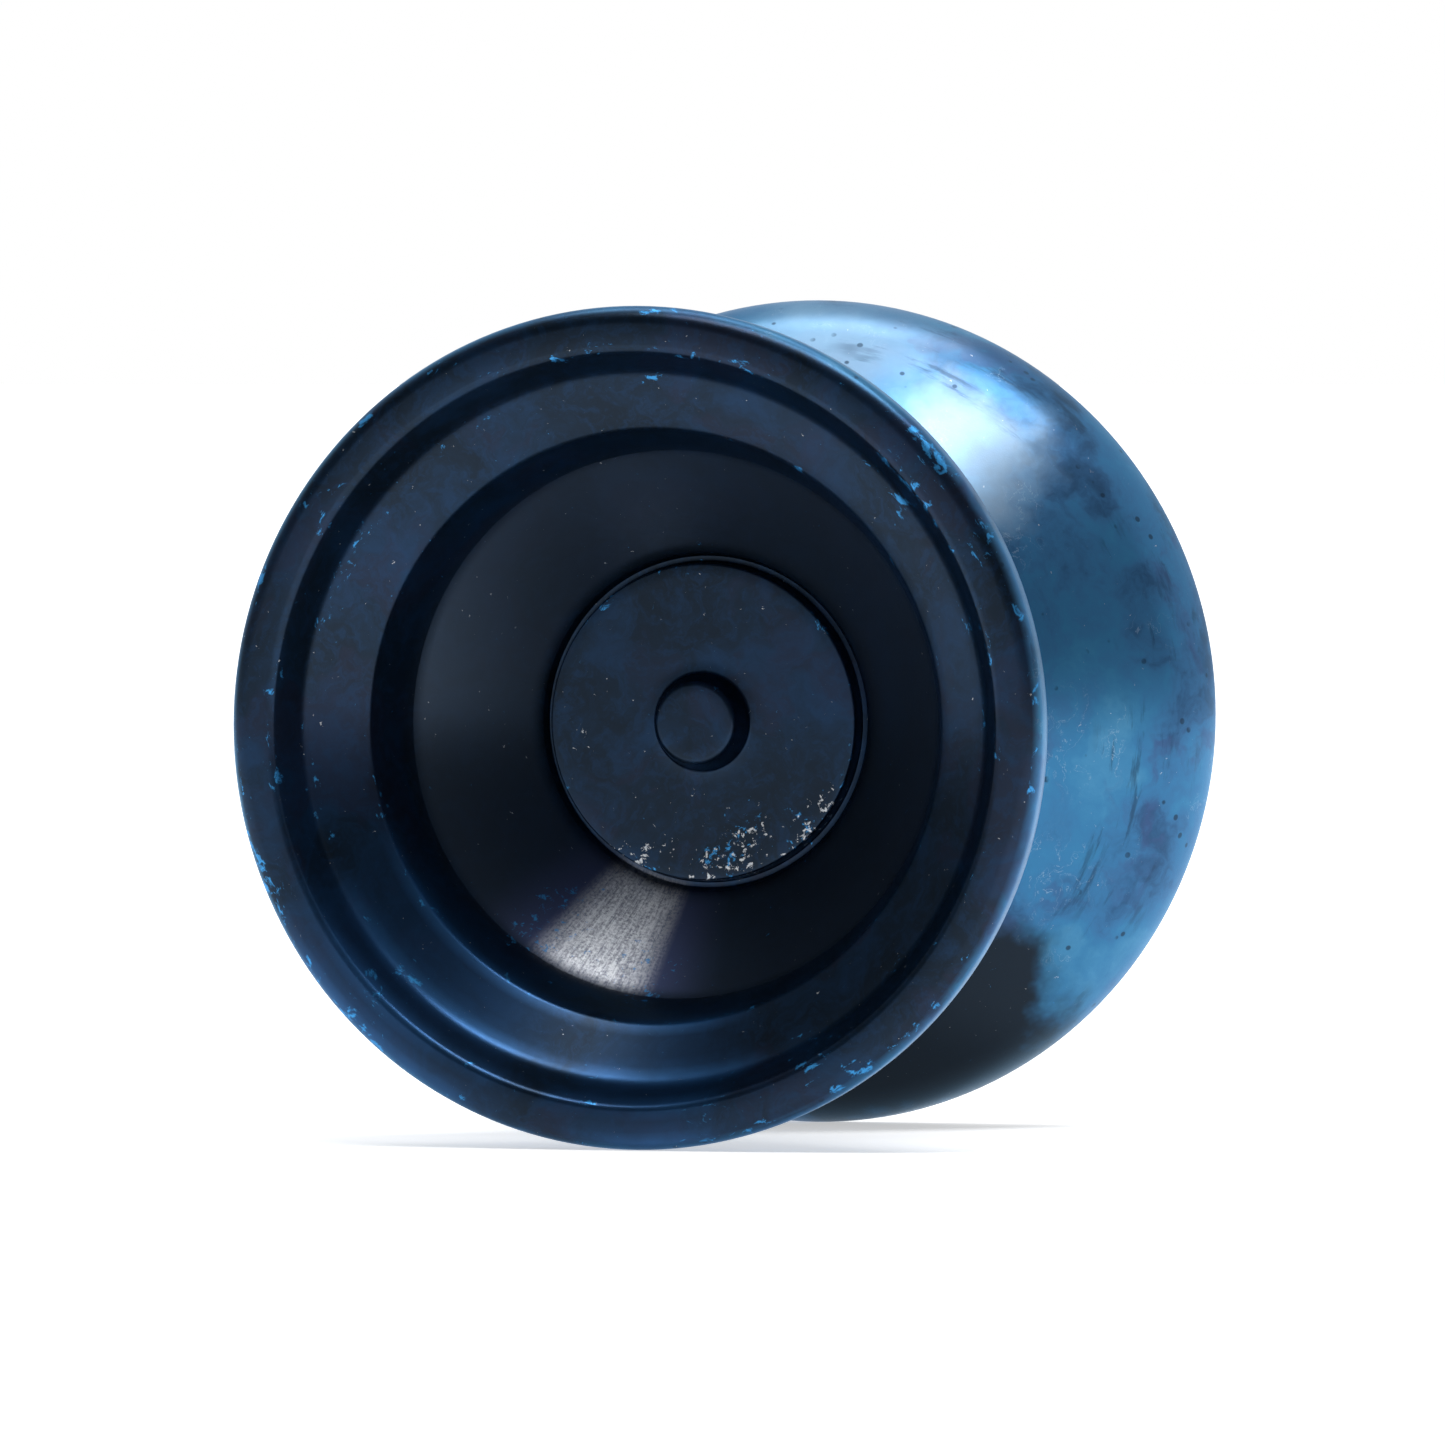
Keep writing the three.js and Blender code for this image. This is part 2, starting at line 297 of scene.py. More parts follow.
class Shader:
    """A material's node tree, with one short call for each kind of node that the materials use."""

    def __init__(self, name, **settings):
        self.material = bpy.data.materials.new(name)
        self.material.use_nodes = True
        self.tree = self.material.node_tree
        self.bsdf = self.tree.nodes["Principled BSDF"]
        for socket, value in settings.items():
            self.bsdf.inputs[socket.replace("_", " ")].default_value = value

    def put(self, socket, value):
        if isinstance(value, bpy.types.NodeSocket):
            self.tree.links.new(value, socket)
        else:
            socket.default_value = value

    def place(self):
        """Where the shaded point is on the piece, in millimetres."""
        coords = self.tree.nodes.new("ShaderNodeTexCoord")
        return self.scaled(coords.outputs["Object"], 1 / MM)

    def scaled(self, vector, factor):
        node = self.tree.nodes.new("ShaderNodeVectorMath")
        node.operation = "SCALE"
        self.put(node.inputs[0], vector)
        self.put(node.inputs["Scale"], factor)
        return node.outputs[0]

    def vector(self, operation, a, b=(0, 0, 0), out="Vector"):
        node = self.tree.nodes.new("ShaderNodeVectorMath")
        node.operation = operation
        self.put(node.inputs[0], a)
        self.put(node.inputs[1], b)
        return node.outputs[out]

    def math(self, operation, a, b=0.0):
        node = self.tree.nodes.new("ShaderNodeMath")
        node.operation = operation
        self.put(node.inputs[0], a)
        self.put(node.inputs[1], b)
        return node.outputs[0]

    def product(self, first, *others):
        for other in others:
            first = self.math("MULTIPLY", first, other)
        return first

    def noise(self, vector, scale, detail=4, roughness=0.55, distortion=0.0, out="Fac"):
        """Clouds with about scale lumps to a unit of the vector, which is a millimetre on a piece."""
        node = self.tree.nodes.new("ShaderNodeTexNoise")
        self.put(node.inputs["Vector"], vector)
        node.inputs["Scale"].default_value = scale
        node.inputs["Detail"].default_value = detail
        node.inputs["Roughness"].default_value = roughness
        node.inputs["Distortion"].default_value = distortion
        return node.outputs[out]

    def cells(self, vector, scale):
        node = self.tree.nodes.new("ShaderNodeTexVoronoi")
        self.put(node.inputs["Vector"], vector)
        node.inputs["Scale"].default_value = scale
        return node.outputs["Distance"]

    def steps(self, value, low, high, to_low=0.0, to_high=1.0):
        """A smooth step of value from low to high."""
        node = self.tree.nodes.new("ShaderNodeMapRange")
        node.interpolation_type = "SMOOTHSTEP"
        self.put(node.inputs["Value"], value)
        node.inputs["From Min"].default_value = low
        node.inputs["From Max"].default_value = high
        node.inputs["To Min"].default_value = to_low
        node.inputs["To Max"].default_value = to_high
        return node.outputs[0]

    def band(self, value, low, high, fade_in, fade_out):
        """1 between low and high, with soft ends inside them."""
        rise = self.steps(value, low, low + fade_in)
        return self.product(rise, self.steps(value, high - fade_out, high, 1, 0))

    def ramp(self, value, stops):
        node = self.tree.nodes.new("ShaderNodeValToRGB")
        node.color_ramp.interpolation = "B_SPLINE"
        elements = node.color_ramp.elements
        while len(elements) < len(stops):
            elements.new(0.5)
        for element, (position, colour) in zip(elements, stops):
            element.position = position
            element.color = (*colour, 1)
        self.put(node.inputs[0], value)
        return node.outputs[0]

    def mix(self, factor, a, b):
        node = self.tree.nodes.new("ShaderNodeMix")
        node.data_type = "RGBA"
        self.put(node.inputs["Factor"], factor)
        for socket, value in ((node.inputs[6], a), (node.inputs[7], b)):
            self.put(socket, value if isinstance(value, bpy.types.NodeSocket) else (*value, 1))
        return node.outputs[2]

    def attribute(self, name):
        node = self.tree.nodes.new("ShaderNodeAttribute")
        node.attribute_name = name
        return node.outputs["Fac"]

    def spots(self, vector, places):
        """1 in the middle of any of the places, falling softly to 0 at its spread."""
        total = 0.0
        for centre, spread in places:
            distance = self.vector("DISTANCE", vector, centre, "Value")
            total = self.math("MAXIMUM", total, self.steps(distance, 0.2 * spread, spread, 1.0, 0.0))
        return total

    def split(self, vector):
        node = self.tree.nodes.new("ShaderNodeSeparateXYZ")
        self.put(node.inputs[0], vector)
        return node.outputs

    def join(self, x, y, z):
        node = self.tree.nodes.new("ShaderNodeCombineXYZ")
        for socket, value in zip(node.inputs, (x, y, z)):
            self.put(socket, value)
        return node.outputs[0]

    def radius(self, place):
        """Distance from the Y axis."""
        return self.vector("LENGTH", self.vector("MULTIPLY", place, (1, 0, 1)), out="Value")

    def along_turning(self, place, across, along):
        """Coordinates that change slowly round the Y axis and faster away from it, for turning marks."""
        x, _, z = self.split(place)
        return self.vector("MULTIPLY", self.join(x, z, self.radius(place)), (along, along, across))

    def across_turning(self, place, around):
        """Coordinates that change quickly round the Y axis and slowly away from it."""
        x, y, z = self.split(place)
        outward = self.scaled(self.vector("NORMALIZE", self.join(x, 0, z)), around)
        return self.vector("ADD", outward, self.join(0, self.math("MULTIPLY", y, 0.5), 0))

    def bump(self, height, strength, distance):
        node = self.tree.nodes.new("ShaderNodeBump")
        node.inputs["Strength"].default_value = strength
        node.inputs["Distance"].default_value = distance * MM
        self.put(node.inputs["Height"], height)
        self.put(self.bsdf.inputs["Normal"], node.outputs[0])


# ---- Materials ----

# Dye colours, linear, with the colours of the painted highlights, sheen, reflection and shade among them, and
# the tint of what the dyed metal reflects.
BLACK_NAVY = (0.004, 0.0095, 0.019)
SLATE = (0.005, 0.015, 0.033)
INK = (0.007, 0.03, 0.08)
NAVY = (0.006, 0.022, 0.05)
DEEP_BLUE = (0.018, 0.07, 0.165)
MID_BLUE = (0.034, 0.135, 0.29)
TEAL = (0.022, 0.148, 0.3)
SKY = (0.06, 0.22, 0.38)
# PALE is the dye of the wisps and also the colour of the painted highlight on the bell's top.
PALE = (0.3, 0.42, 0.54)
PURPLE = (0.035, 0.065, 0.17)
CYAN = (0.04, 0.29, 0.66)
SILVER = (0.6, 0.63, 0.66)
PLUM = (0.012, 0.013, 0.03)
# The next two are the painted highlight and the painted sheen of the front bowl's wedge.
PAINTED_HIGHLIGHT_WHITE = (0.95, 0.97, 1.0)
PAINTED_SHEEN_LILAC = (0.06, 0.075, 0.17)
# The colour of the painted shade on the bell.
PAINTED_SHADE_BLACK = (0.003, 0.008, 0.016)
BRIGHT_INK = (0.008, 0.04, 0.115)
# The colour of the painted highlight lines on the cup's proud edges.
PAINTED_EDGE_HIGHLIGHT_BLUE = (0.03, 0.13, 0.34)
# The colour of the painted reflection on the bowls.
PAINTED_REFLECTION_GREY = (0.034, 0.05, 0.078)
REFLECTED_TINT = (0.5, 0.75, 1, 1)

# Colours of the other materials, linear.
STEEL_GREY = (0.62, 0.63, 0.65)
STEEL_BLACK = (0.06, 0.06, 0.065)
BRASS = (0.6, 0.42, 0.18)
SILICONE_DULL = (0.62, 0.6, 0.55)
SILICONE_PALE = (0.78, 0.77, 0.73)

# Places on the halves where the dye took differently, and where painted highlights and shade go: a point in
# millimetres, and how far it spreads.
# Where the cup's dye is bluer; the same places carry the painted highlight lines on the cup's proud edges.
INK_AND_EDGE_HIGHLIGHT_SPOTS = [((-15.0, -20.0, -17.0), 13.0), ((2.0, -20.0, -23.0), 9.0)]
CYAN_SPOTS = [
    ((20.0, -22.8, 17.0), 5.0),
    ((23.5, -22.8, 12.0), 3.5),
    ((-21.0, -22.5, 14.3), 3.0),
    ((6.0, -22.3, -24.0), 5.5),
    ((12.0, -22.3, -21.5), 4.5),
    ((-25.0, -22.5, -9.0), 4.0),
    ((-18.0, -22.0, -17.0), 5.0),
]
BLUE_SPOTS = [
    ((-9.5, -10.8, -13.0), 5.5),
    ((-3.0, -11.5, -16.5), 4.5),
    ((-7.0, -9.0, -10.5), 3.5),
    ((2.0, -6.2, -9.0), 2.6),
    ((7.0, -6.2, -7.0), 2.2),
]
SILVER_SPOTS = [
    ((2.8, -6.2, -10.6), 5.0),
    ((8.3, -6.2, -7.2), 3.6),
    ((-4.3, -6.2, -8.6), 3.6),
    ((-8.0, -6.2, 0.0), 2.4),
]
# Painted shade on the bell: where it would reflect the dark front half and the floor's shadow.
PAINTED_SHADE_SPOTS = [((10.0, 14.0, -22.0), 14.5), ((3.0, 13.0, -24.0), 13.0), ((-16.0, 13.0, 16.0), 7.0)]
# Painted highlight on the top of the bell, where the lamps above shine.
PAINTED_HIGHLIGHT_SPOTS = [((2.0, 15.5, 24.8), 12.0), ((13.0, 12.7, 18.0), 8.0)]
WISP_SPOTS = [((20.8, 11.4, -2.0), 5.0), ((20.0, 12.6, -10.5), 4.0)]
TEAL_SPOTS = [((20.5, 12.6, -9.5), 7.0), ((21.0, 11.6, -2.8), 4.5)]

# The painted highlight of the front bowl, a wedge of reflection painted as bright metal: its direction from
# the axis, and the radii it lies between.
WEDGE_DIRECTION = (-0.345, 0, -0.939)
WEDGE_INNER, WEDGE_OUTER = 10.6, 18.6

# A greyer band of each bowl, a painted reflection, lies between the first two radii, and silver crumbs lie
# within the third.
BAND_INNER, BAND_OUTER = 11.2, 18.8
SILVER_RADIUS = 10.7


def anodised():
    """Satin aluminium under marbled dye: near-black cups, bells in clouded blue, and flecked edges, with
    painted highlights, a painted reflection and painted shade mixed into the colour.
    """
    s = Shader("anodised_marble_and_painted_light", Metallic=0.75, Coat_Weight=0.14, Coat_Roughness=0.28)
    s.bsdf.inputs["Specular Tint"].default_value = REFLECTED_TINT
    place = s.place()
    warp = s.vector("SUBTRACT", s.noise(place, 0.16, 4, out="Color"), (0.5, 0.5, 0.5))
    drift = s.vector("ADD", place, s.scaled(warp, 12))
    hue = s.noise(drift, 0.13, 4, 0.55, 0.6)
    bell = bell_dye_and_painted_light(s, place, drift, hue)
    cup = cup_dye_and_painted_light(s, place, drift, hue)
    dye = s.mix(s.attribute("cup"), bell, cup)
    dye = flecked(s, place, drift, dye)
    s.put(s.bsdf.inputs["Base Color"], dye)
    grain = s.noise(place, 9.0, 3, 0.6)
    s.put(s.bsdf.inputs["Roughness"], s.steps(grain, 0.3, 0.7, 0.28, 0.36))
    s.bump(grain, 0.25, 0.02)
    return s.material


def bell_dye_and_painted_light(s, place, drift, hue):
    cloud = s.noise(drift, 0.1, 9, 0.6)
    dye = s.ramp(cloud, [(0.24, NAVY), (0.36, DEEP_BLUE), (0.45, MID_BLUE), (0.56, TEAL), (0.7, SKY)])
    dye = s.mix(s.steps(hue, 0.54, 0.68, 0, 0.6), dye, PURPLE)
    dye = s.mix(s.product(s.spots(drift, TEAL_SPOTS), 0.4), dye, TEAL)
    # Painted highlight: the bell's top lightened towards PALE.
    dye = s.mix(s.product(s.spots(drift, PAINTED_HIGHLIGHT_SPOTS), 0.5), dye, PALE)
    patch = s.steps(s.noise(place, 0.14, 2), 0.45, 0.6)
    streak = s.steps(s.noise(s.along_turning(place, 1.3, 0.14), 1.0, 5, 0.65), 0.53, 0.66)
    dye = s.mix(s.product(streak, patch, 0.6), dye, NAVY)
    crease = s.math("ABSOLUTE", s.math("SUBTRACT", s.noise(drift, 0.42, 5, 0.6), 0.5))
    where = s.math("MAXIMUM", s.steps(s.noise(place, 0.2, 2), 0.58, 0.66), s.spots(drift, WISP_SPOTS))
    wisp = s.steps(crease, 0.001, 0.009, 1, 0)
    dye = s.mix(s.product(wisp, where, 0.4), dye, PALE)
    pinhole = s.steps(s.cells(place, 0.62), 0.1, 0.16, 1, 0)
    pinhole = s.product(pinhole, s.steps(s.noise(place, 0.3, 3), 0.46, 0.56, 0, 0.8))
    dye = s.mix(pinhole, dye, NAVY)
    # Painted shade: the bell darkened where it would reflect the dark front half and the floor's shadow.
    return s.mix(s.steps(s.spots(drift, PAINTED_SHADE_SPOTS), 0.1, 0.6), dye, PAINTED_SHADE_BLACK)


def cup_dye_and_painted_light(s, place, drift, hue):
    cloud = s.noise(drift, 0.12, 6, 0.6)
    dye = s.ramp(cloud, [(0.35, BLACK_NAVY), (0.5, SLATE), (0.66, INK)])
    dye = s.mix(s.steps(hue, 0.48, 0.64, 0, 0.5), dye, PLUM)
    dye = s.mix(s.steps(s.noise(drift, 0.8, 7, 0.7), 0.45, 0.65, 0, 0.45), dye, INK)
    inky_and_edge_lit = s.spots(drift, INK_AND_EDGE_HIGHLIGHT_SPOTS)
    dye = s.mix(s.product(inky_and_edge_lit, 0.5), dye, BRIGHT_INK)
    # Painted highlight: the proud edges at the lower left of the cup turn bright blue.
    dye = s.mix(s.product(inky_and_edge_lit, s.attribute("edge"), 0.6), dye, PAINTED_EDGE_HIGHLIGHT_BLUE)
    # Painted reflection: the bowl's band turns greyer.
    grey = s.band(s.radius(place), BAND_INNER, BAND_OUTER, 1, 1)
    dye = s.mix(s.product(grey, 0.7), dye, PAINTED_REFLECTION_GREY)
    return painted_wedge_highlight(s, place, dye)


def painted_wedge_highlight(s, place, dye):
    """A painted highlight: the bright wedge of reflection on the front bowl, painted as near-white metal,
    with a lilac painted sheen round it.
    """
    x, y, z = s.split(place)
    outward = s.vector("NORMALIZE", s.join(x, 0, z))
    facing = s.vector("DOT_PRODUCT", outward, WEDGE_DIRECTION, out="Value")
    front = s.steps(y, -3, -4)
    wedge = s.product(s.band(s.radius(place), WEDGE_INNER, WEDGE_OUTER, 2, 1.2), front)
    halo = s.product(s.steps(facing, 0.86, 0.99), wedge, 0.85)
    # Painted sheen: a lilac halo round the highlight.
    dye = s.mix(halo, dye, PAINTED_SHEEN_LILAC)
    radial_glint = s.noise(s.across_turning(place, 60.0), 1.0, 4, 0.8)
    sparkle = s.math("ADD", radial_glint, s.noise(place, 5.0, 4, 0.7))
    # Painted highlight: the middle of the wedge, streaked across the turning, turns near-white.
    glint = s.product(s.steps(facing, 0.962, 0.999), s.steps(sparkle, 0.75, 1.2, 0.25, 1.0), wedge)
    return s.mix(glint, dye, PAINTED_HIGHLIGHT_WHITE)


def flecked(s, place, drift, dye):
    """Sparse crumbs of cyan and bare silver, thick at proud edges and in a few places."""
    patch = s.steps(s.noise(place, 0.22, 2), 0.44, 0.58)
    edge = s.product(s.attribute("edge"), patch, 0.17)
    cyan = s.math("ADD", edge, s.product(s.spots(drift, CYAN_SPOTS), 0.115))
    crumbs = s.noise(s.along_turning(place, 1.1, 0.6), 1.6, 6, 0.68, 0.5)
    dye = s.mix(s.steps(s.math("ADD", crumbs, cyan), 0.7, 0.8, 0, 0.85), dye, CYAN)
    blue = s.product(s.spots(drift, BLUE_SPOTS), 0.14)
    crumbs = s.noise(place, 1.9, 6, 0.66, 0.4)
    dye = s.mix(s.steps(s.math("ADD", crumbs, blue), 0.69, 0.76, 0, 0.75), dye, CYAN)
    hub = s.steps(s.radius(place), SILVER_RADIUS, SILVER_RADIUS + 0.1, 1, 0)
    silver = s.product(s.spots(drift, SILVER_SPOTS), hub, 0.13)
    crumbs = s.noise(place, 2.2, 6, 0.66, 0.4)
    return s.mix(s.steps(s.math("ADD", crumbs, silver), 0.69, 0.73, 0, 0.85), dye, SILVER)


def steel(name, colour, roughness):
    s = Shader(name, Metallic=1.0)
    place = s.place()
    hairline = s.noise(s.vector("MULTIPLY", place, (1, 14, 1)), 1.4, 4, 0.6)
    s.put(s.bsdf.inputs["Base Color"], s.mix(hairline, colour, tuple(0.8 * c for c in colour)))
    s.put(s.bsdf.inputs["Roughness"], s.steps(hairline, 0.3, 0.7, roughness, roughness + 0.12))
    s.bump(hairline, 0.2, 0.01)
    return s.material


def silicone():
    s = Shader("silicone_pad", Roughness=0.5)
    s.bsdf.inputs["Subsurface Weight"].default_value = 0.15
    place = s.place()
    dust = s.noise(place, 3.0, 5, 0.6)
    s.put(s.bsdf.inputs["Base Color"], s.ramp(dust, [(0.3, SILICONE_DULL), (0.6, SILICONE_PALE)]))
    s.bump(dust, 0.2, 0.03)
    return s.material


# ---- Pieces ----


def half_marks(profile, cup_start):
    """For each profile point: how far it is into the cup's dye, and how near it is to a proud corner."""
    reach = 1.1
    # The cup's dye starts on the rim's corner.
    points_before, points_of_fade = 10, 5
    proud = [
        (RIM_RADIUS - 0.4, HALF_WIDTH - 0.4),
        (25, HALF_WIDTH - 0.3),
        (23.3, 19.8),
        (19.7, 17.4),
        (DISC_RADIUS, DISC_HEIGHT),
        (NUB_RADIUS, NUB_HEIGHT),
    ]
    cup_marks, edge_marks = [], []
    for index, (r, y) in enumerate(profile):
        past = index - cup_start + points_before
        cup_marks.append(min(max(past / points_of_fade, 0), 1))
        nearest = min(math.hypot(r - pr, y - py) for pr, py in proud)
        edge_marks.append(max(0.0, 1 - nearest / reach))
    return {"cup": cup_marks, "edge": edge_marks}


def halves(material):
    outside = [*gap_side(), *bell()]
    profile = [*outside, *subdivided(cup(), LONGEST_CUP_STEP)[1:]]
    marks = half_marks(profile, len(outside))
    for node, front in (("front_half", True), ("rear_half", False)):
        turned_piece(node, profile, HALF_SEGMENTS, material, front, marks=marks)


def pads(material):
    low, high = GAP_HALF + PAD_BELOW, GAP_HALF + PAD_DEPTH - PAD_CLEARANCE
    inner, outer = PAD_INNER + PAD_CLEARANCE, PAD_OUTER - PAD_CLEARANCE
    corners = [(inner, low, 0.2), (outer, low, 0.2), (outer, high, 0.05), (inner, high, 0.05)]
    profile = rounded(corners, closed=True)
    for node, front in (("front_response_pad", True), ("rear_response_pad", False)):
        turned_piece(node, profile, HALF_SEGMENTS, material, front, closed=True)


def raceway(side):
    """The groove the balls run in: side is -1 on the inner race and 1 on the outer one."""
    bottom = PITCH_RADIUS + side * (BALL_RADIUS + RACEWAY_CLEARANCE)
    centre = bottom - side * RACEWAY_RADIUS
    heights = [RACEWAY_REACH * (i / 6 - 1) for i in range(13)]
    return [(centre + side * math.sqrt(RACEWAY_RADIUS**2 - y**2), y, 0) for y in heights]


def races(material):
    w, seat = BEARING_HALF_WIDTH, SHIELD_SEAT
    inner = [
        (BEARING_BORE, -w, BEARING_CHAMFER),
        (INNER_STEP, -w, 0.08),
        (INNER_STEP, -seat, 0),
        (INNER_LAND, -seat, 0.04),
        *raceway(-1),
        (INNER_LAND, seat, 0.04),
        (INNER_STEP, seat, 0),
        (INNER_STEP, w, 0.08),
        (BEARING_BORE, w, BEARING_CHAMFER),
    ]
    outer = [
        (BEARING_OUTER, -w, BEARING_CHAMFER),
        (BEARING_OUTER, w, BEARING_CHAMFER),
        (OUTER_SEAT, w, 0.06),
        (OUTER_SEAT, seat, 0),
        (OUTER_LAND, seat, 0.04),
        *raceway(1)[::-1],
        (OUTER_LAND, -seat, 0.04),
        (OUTER_SEAT, -seat, 0),
        (OUTER_SEAT, -w, 0.06),
    ]
    turned_piece("bearing_inner_race", rounded(inner, closed=True), BEARING_SEGMENTS, material, closed=True)
    turned_piece("bearing_outer_race", rounded(outer, closed=True), BEARING_SEGMENTS, material, closed=True)


def shields(material):
    profile = rounded([
        (SHIELD_INNER, SHIELD_LOW, 0.03),
        (SHIELD_OUTER, SHIELD_LOW, 0.03),
        (SHIELD_OUTER, SHIELD_HIGH, 0.05),
        (SHIELD_INNER, SHIELD_HIGH, 0.05),
    ], closed=True)
    for node, front in (("front_bearing_shield", True), ("rear_bearing_shield", False)):
        turned_piece(node, profile, BEARING_SEGMENTS, material, front, closed=True)


def snap_rings(material):
    """A wire of rounded section bent to a C, open at the top."""
    section = rounded([
        (SNAP_INNER, SNAP_LOW, 0.06),
        (SNAP_OUTER, SNAP_LOW, 0.06),
        (SNAP_OUTER, SNAP_HIGH, 0.06),
        (SNAP_INNER, SNAP_HIGH, 0.06),
    ], closed=True)
    opening = math.radians(SNAP_OPENING)
    for node, front in (("front_bearing_snap_ring", True), ("rear_bearing_snap_ring", False)):
        bm = bmesh.new()
        rings = []
        for i in range(SNAP_SEGMENTS + 1):
            angle = opening / 2 + (2 * math.pi - opening) * i / SNAP_SEGMENTS
            spot = [(r * MM * math.sin(angle), y * MM, r * MM * math.cos(angle)) for r, y in section]
            rings.append([bm.verts.new(v) for v in spot])
        for low_ring, high_ring in zip(rings, rings[1:]):
            for k in range(len(section)):
                after = (k + 1) % len(section)
                bm.faces.new([low_ring[k], low_ring[after], high_ring[after], high_ring[k]])
        bm.faces.new(rings[0])
        bm.faces.new(rings[-1][::-1])
        if front:
            bmesh.ops.rotate(bm, verts=bm.verts, matrix=Matrix.Rotation(math.pi, 3, "Z"))
        stand_for(make_object(node + "_wire", bm, material), node)


def ball_centres():
    centres = []
    for i in range(BALL_COUNT):
        angle = 2 * math.pi * (i + 0.5) / BALL_COUNT
        centres.append(Vector((PITCH_RADIUS * math.sin(angle), 0, PITCH_RADIUS * math.cos(angle))) * MM)
    return centres


def balls(material):
    profile = [(r if r > ON_AXIS else 0, y) for r, y in arc((0, 0), BALL_RADIUS, -90, 90, 20)]
    for index, centre in enumerate(ball_centres()):
        turned_piece(f"bearing_ball_{index + 1:02d}", profile, BALL_SEGMENTS, material, at=centre)


def cut(piece, cutter):
    """Cuts one object out of another and keeps the result as the piece's own mesh."""
    modifier = piece.modifiers.new("cut", "BOOLEAN")
    modifier.object = cutter
    modifier.operation = "DIFFERENCE"
    modifier.solver = "EXACT"
    result = bpy.data.meshes.new_from_object(piece.evaluated_get(bpy.context.evaluated_depsgraph_get()))
    piece.modifiers.clear()
    piece.data = result
    result.set_sharp_from_angle(angle=math.radians(SHARP_ANGLE))
    bpy.data.objects.remove(cutter)


def cage(material):
    """A crown: a ring on one side of the balls, with a round pocket cut for each."""
    profile = rounded([
        (CAGE_INNER, CAGE_LOW, 0.04),
        (CAGE_OUTER, CAGE_LOW, 0.04),
        (CAGE_OUTER, CAGE_HIGH, 0.08),
        (CAGE_INNER, CAGE_HIGH, 0.08),
    ], closed=True)
    piece = turned_piece("bearing_cage", profile, BEARING_SEGMENTS, material, closed=True)
    pockets = bmesh.new()
    for centre in ball_centres():
        place = Matrix.Translation(centre)
        bmesh.ops.create_uvsphere(
            pockets, u_segments=BALL_SEGMENTS, v_segments=20, radius=CAGE_POCKET * MM, matrix=place
        )
    cut(piece, make_object("pockets", pockets, material))


def axle(material):
    """A grub screw: a helical thread, chamfered ends, and a hexagon socket in the rear end."""
    around, per_turn = 48, 14
    rows = round(2 * AXLE_HALF_LENGTH / THREAD_PITCH * per_turn)
    bm = bmesh.new()
    rings = []
    for j in range(rows + 1):
        y = -AXLE_HALF_LENGTH + 2 * AXLE_HALF_LENGTH * j / rows
        from_end = AXLE_HALF_LENGTH - abs(y)
        limit = AXLE_RADIUS - AXLE_CHAMFER + min(AXLE_CHAMFER, from_end + 0.05)
        ring = []
        for i in range(around):
            angle = 2 * math.pi * i / around
            phase = (y / THREAD_PITCH - i / around) % 1
            # Flat crests and roots, with sloping flanks between them.
            crest = min(1, max(0, 3.2 * abs(phase - 0.5) - 0.25))
            r = min(AXLE_RADIUS - THREAD_DEPTH * (1 - crest), limit)
            ring.append(bm.verts.new((r * MM * math.sin(angle), y * MM, r * MM * math.cos(angle))))
        rings.append(ring)
    for low, high in zip(rings, rings[1:]):
        for i in range(around):
            bm.faces.new([low[i], low[(i + 1) % around], high[(i + 1) % around], high[i]])
    bm.faces.new(rings[0])
    bm.faces.new(rings[-1][::-1])
    piece = stand_for(make_object("axle_thread", bm, material), "axle")
    socket = bmesh.new()
    corner = SOCKET_FLATS / math.sqrt(3) * MM
    depth = 2 * SOCKET_DEPTH * MM
    bmesh.ops.create_cone(socket, cap_ends=True, segments=6, radius1=corner, radius2=corner, depth=depth)
    bmesh.ops.rotate(socket, verts=socket.verts, matrix=Matrix.Rotation(math.pi / 2, 3, "X"))
    bmesh.ops.translate(socket, verts=socket.verts, vec=(0, AXLE_HALF_LENGTH * MM, 0))
    cut(piece, make_object("socket", socket, material))


# ---- Studio ----

# In metres and degrees, with the lens and the sensor in millimetres.
FLOOR_RADIUS, FLOOR_SIDES, FLOOR_GREY = 4, 96, 0.85
CAMERA_AZIMUTH, CAMERA_ELEVATION, CAMERA_DISTANCE = 16.47, 1.58, 1.517
CAMERA_LENS, CAMERA_SENSOR = 562.2, 36
CAMERA_AIM = (-0.43 * MM, -0.20 * MM, 0)

# The floor glows more from the first radius to the second, in millimetres, from one strength to the other.
GLOW_RADII = (60, 260)
GLOW_STRENGTHS = (0.5, 1.0)

# The room's light rises from one strength to the other between these two Y parts of a direction.
ROOM_DIRECTIONS = (-0.6, 0.5)
ROOM_STRENGTHS = (0.06, 0.8)


def floor():
    bm = bmesh.new()
    centre = bm.verts.new((0, 0, 0))
    rim = []
    for i in range(FLOOR_SIDES):
        angle = 2 * math.pi * i / FLOOR_SIDES
        rim.append(bm.verts.new((FLOOR_RADIUS * math.cos(angle), FLOOR_RADIUS * math.sin(angle), 0)))
    for i in range(FLOOR_SIDES):
        bm.faces.new([centre, rim[i], rim[(i + 1) % FLOOR_SIDES]])
    s = Shader("floor_card", Roughness=0.7)
    glow = s.steps(s.vector("LENGTH", s.place(), out="Value"), *GLOW_RADII, *GLOW_STRENGTHS)
    s.put(s.bsdf.inputs["Emission Strength"], glow)
    s.bsdf.inputs["Base Color"].default_value = (FLOOR_GREY, FLOOR_GREY, FLOOR_GREY, 1)
    s.bsdf.inputs["Emission Color"].default_value = (1, 1, 1, 1)
    made = make_object("floor", bm, s.material)
    made.location.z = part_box("rear_half")[0].z


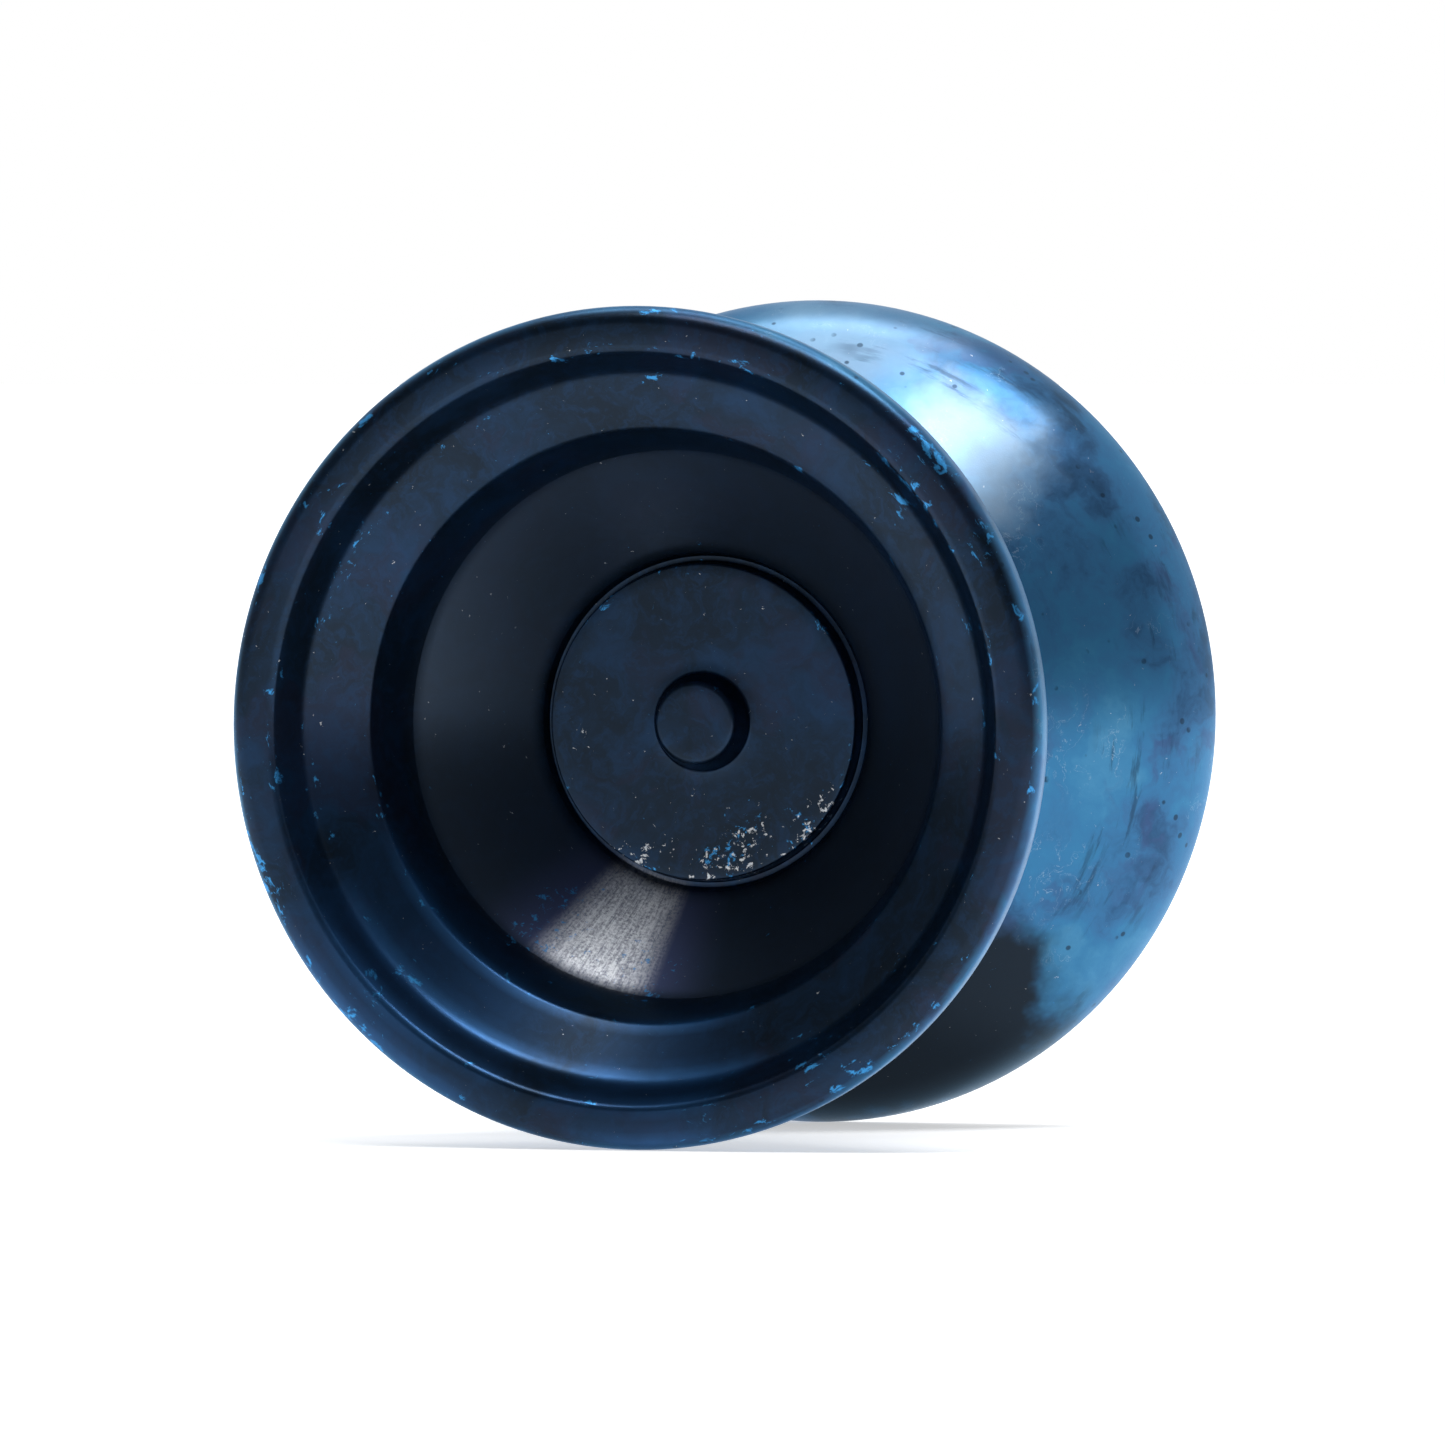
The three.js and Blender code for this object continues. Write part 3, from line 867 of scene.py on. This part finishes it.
def softbox(name, place, size, energy):
    """A rectangular lamp at a place, aimed at the middle of the yo-yo."""
    data = bpy.data.lights.new(name, "AREA")
    data.shape = "RECTANGLE"
    data.size, data.size_y = size
    data.energy = energy
    made = bpy.data.objects.new(name, data)
    made.location = place
    made.rotation_euler = (-Vector(place)).to_track_quat("-Z", "Y").to_euler()
    bpy.context.scene.collection.objects.link(made)


def world():
    """A room seen as plain white, that lights the yo-yo more from the rear than from the front."""
    made = bpy.data.worlds.new("room")
    bpy.context.scene.world = made
    made.use_nodes = True
    nodes, links = made.node_tree.nodes, made.node_tree.links
    coords = nodes.new("ShaderNodeTexCoord")
    split = nodes.new("ShaderNodeSeparateXYZ")
    links.new(coords.outputs["Generated"], split.inputs[0])
    slope = nodes.new("ShaderNodeMapRange")
    slope.interpolation_type = "SMOOTHSTEP"
    links.new(split.outputs["Y"], slope.inputs["Value"])
    limits = ("From Min", "From Max", "To Min", "To Max")
    for socket, value in zip(limits, (*ROOM_DIRECTIONS, *ROOM_STRENGTHS)):
        slope.inputs[socket].default_value = value
    path = nodes.new("ShaderNodeLightPath")
    seen = nodes.new("ShaderNodeMath")
    seen.operation = "MAXIMUM"
    links.new(path.outputs["Is Camera Ray"], seen.inputs[0])
    links.new(slope.outputs[0], seen.inputs[1])
    background = nodes["Background"]
    background.inputs["Color"].default_value = (1, 1, 1, 1)
    links.new(seen.outputs[0], background.inputs["Strength"])


def camera():
    azimuth, elevation = math.radians(CAMERA_AZIMUTH), math.radians(CAMERA_ELEVATION)
    back = Vector((
        math.sin(azimuth) * math.cos(elevation),
        -math.cos(azimuth) * math.cos(elevation),
        math.sin(elevation),
    ))
    data = bpy.data.cameras.new("camera")
    data.lens = CAMERA_LENS
    data.sensor_width = CAMERA_SENSOR
    made = bpy.data.objects.new("camera", data)
    turn = (-back).to_track_quat("-Z", "Y")
    made.location = turn @ Vector(CAMERA_AIM) + back * CAMERA_DISTANCE
    made.rotation_mode = "QUATERNION"
    made.rotation_quaternion = turn
    bpy.context.scene.collection.objects.link(made)
    bpy.context.scene.camera = made


dyed_and_painted_light = anodised()
polished = steel("bearing_steel", STEEL_GREY, 0.16)
halves(dyed_and_painted_light)
pads(silicone())
races(polished)
shields(polished)
snap_rings(polished)
balls(polished)
cage(steel("cage_brass", BRASS, 0.3))
axle(steel("black_steel", STEEL_BLACK, 0.3))

floor()
softbox("top_softbox", (0.09, -0.11, 0.5), (0.5, 0.14), 2.2)
softbox("back_softbox", (-0.05, 0.14, 0.5), (0.4, 0.2), 0.8)
world()
camera()
bpy.context.scene.view_settings.view_transform = "Standard"
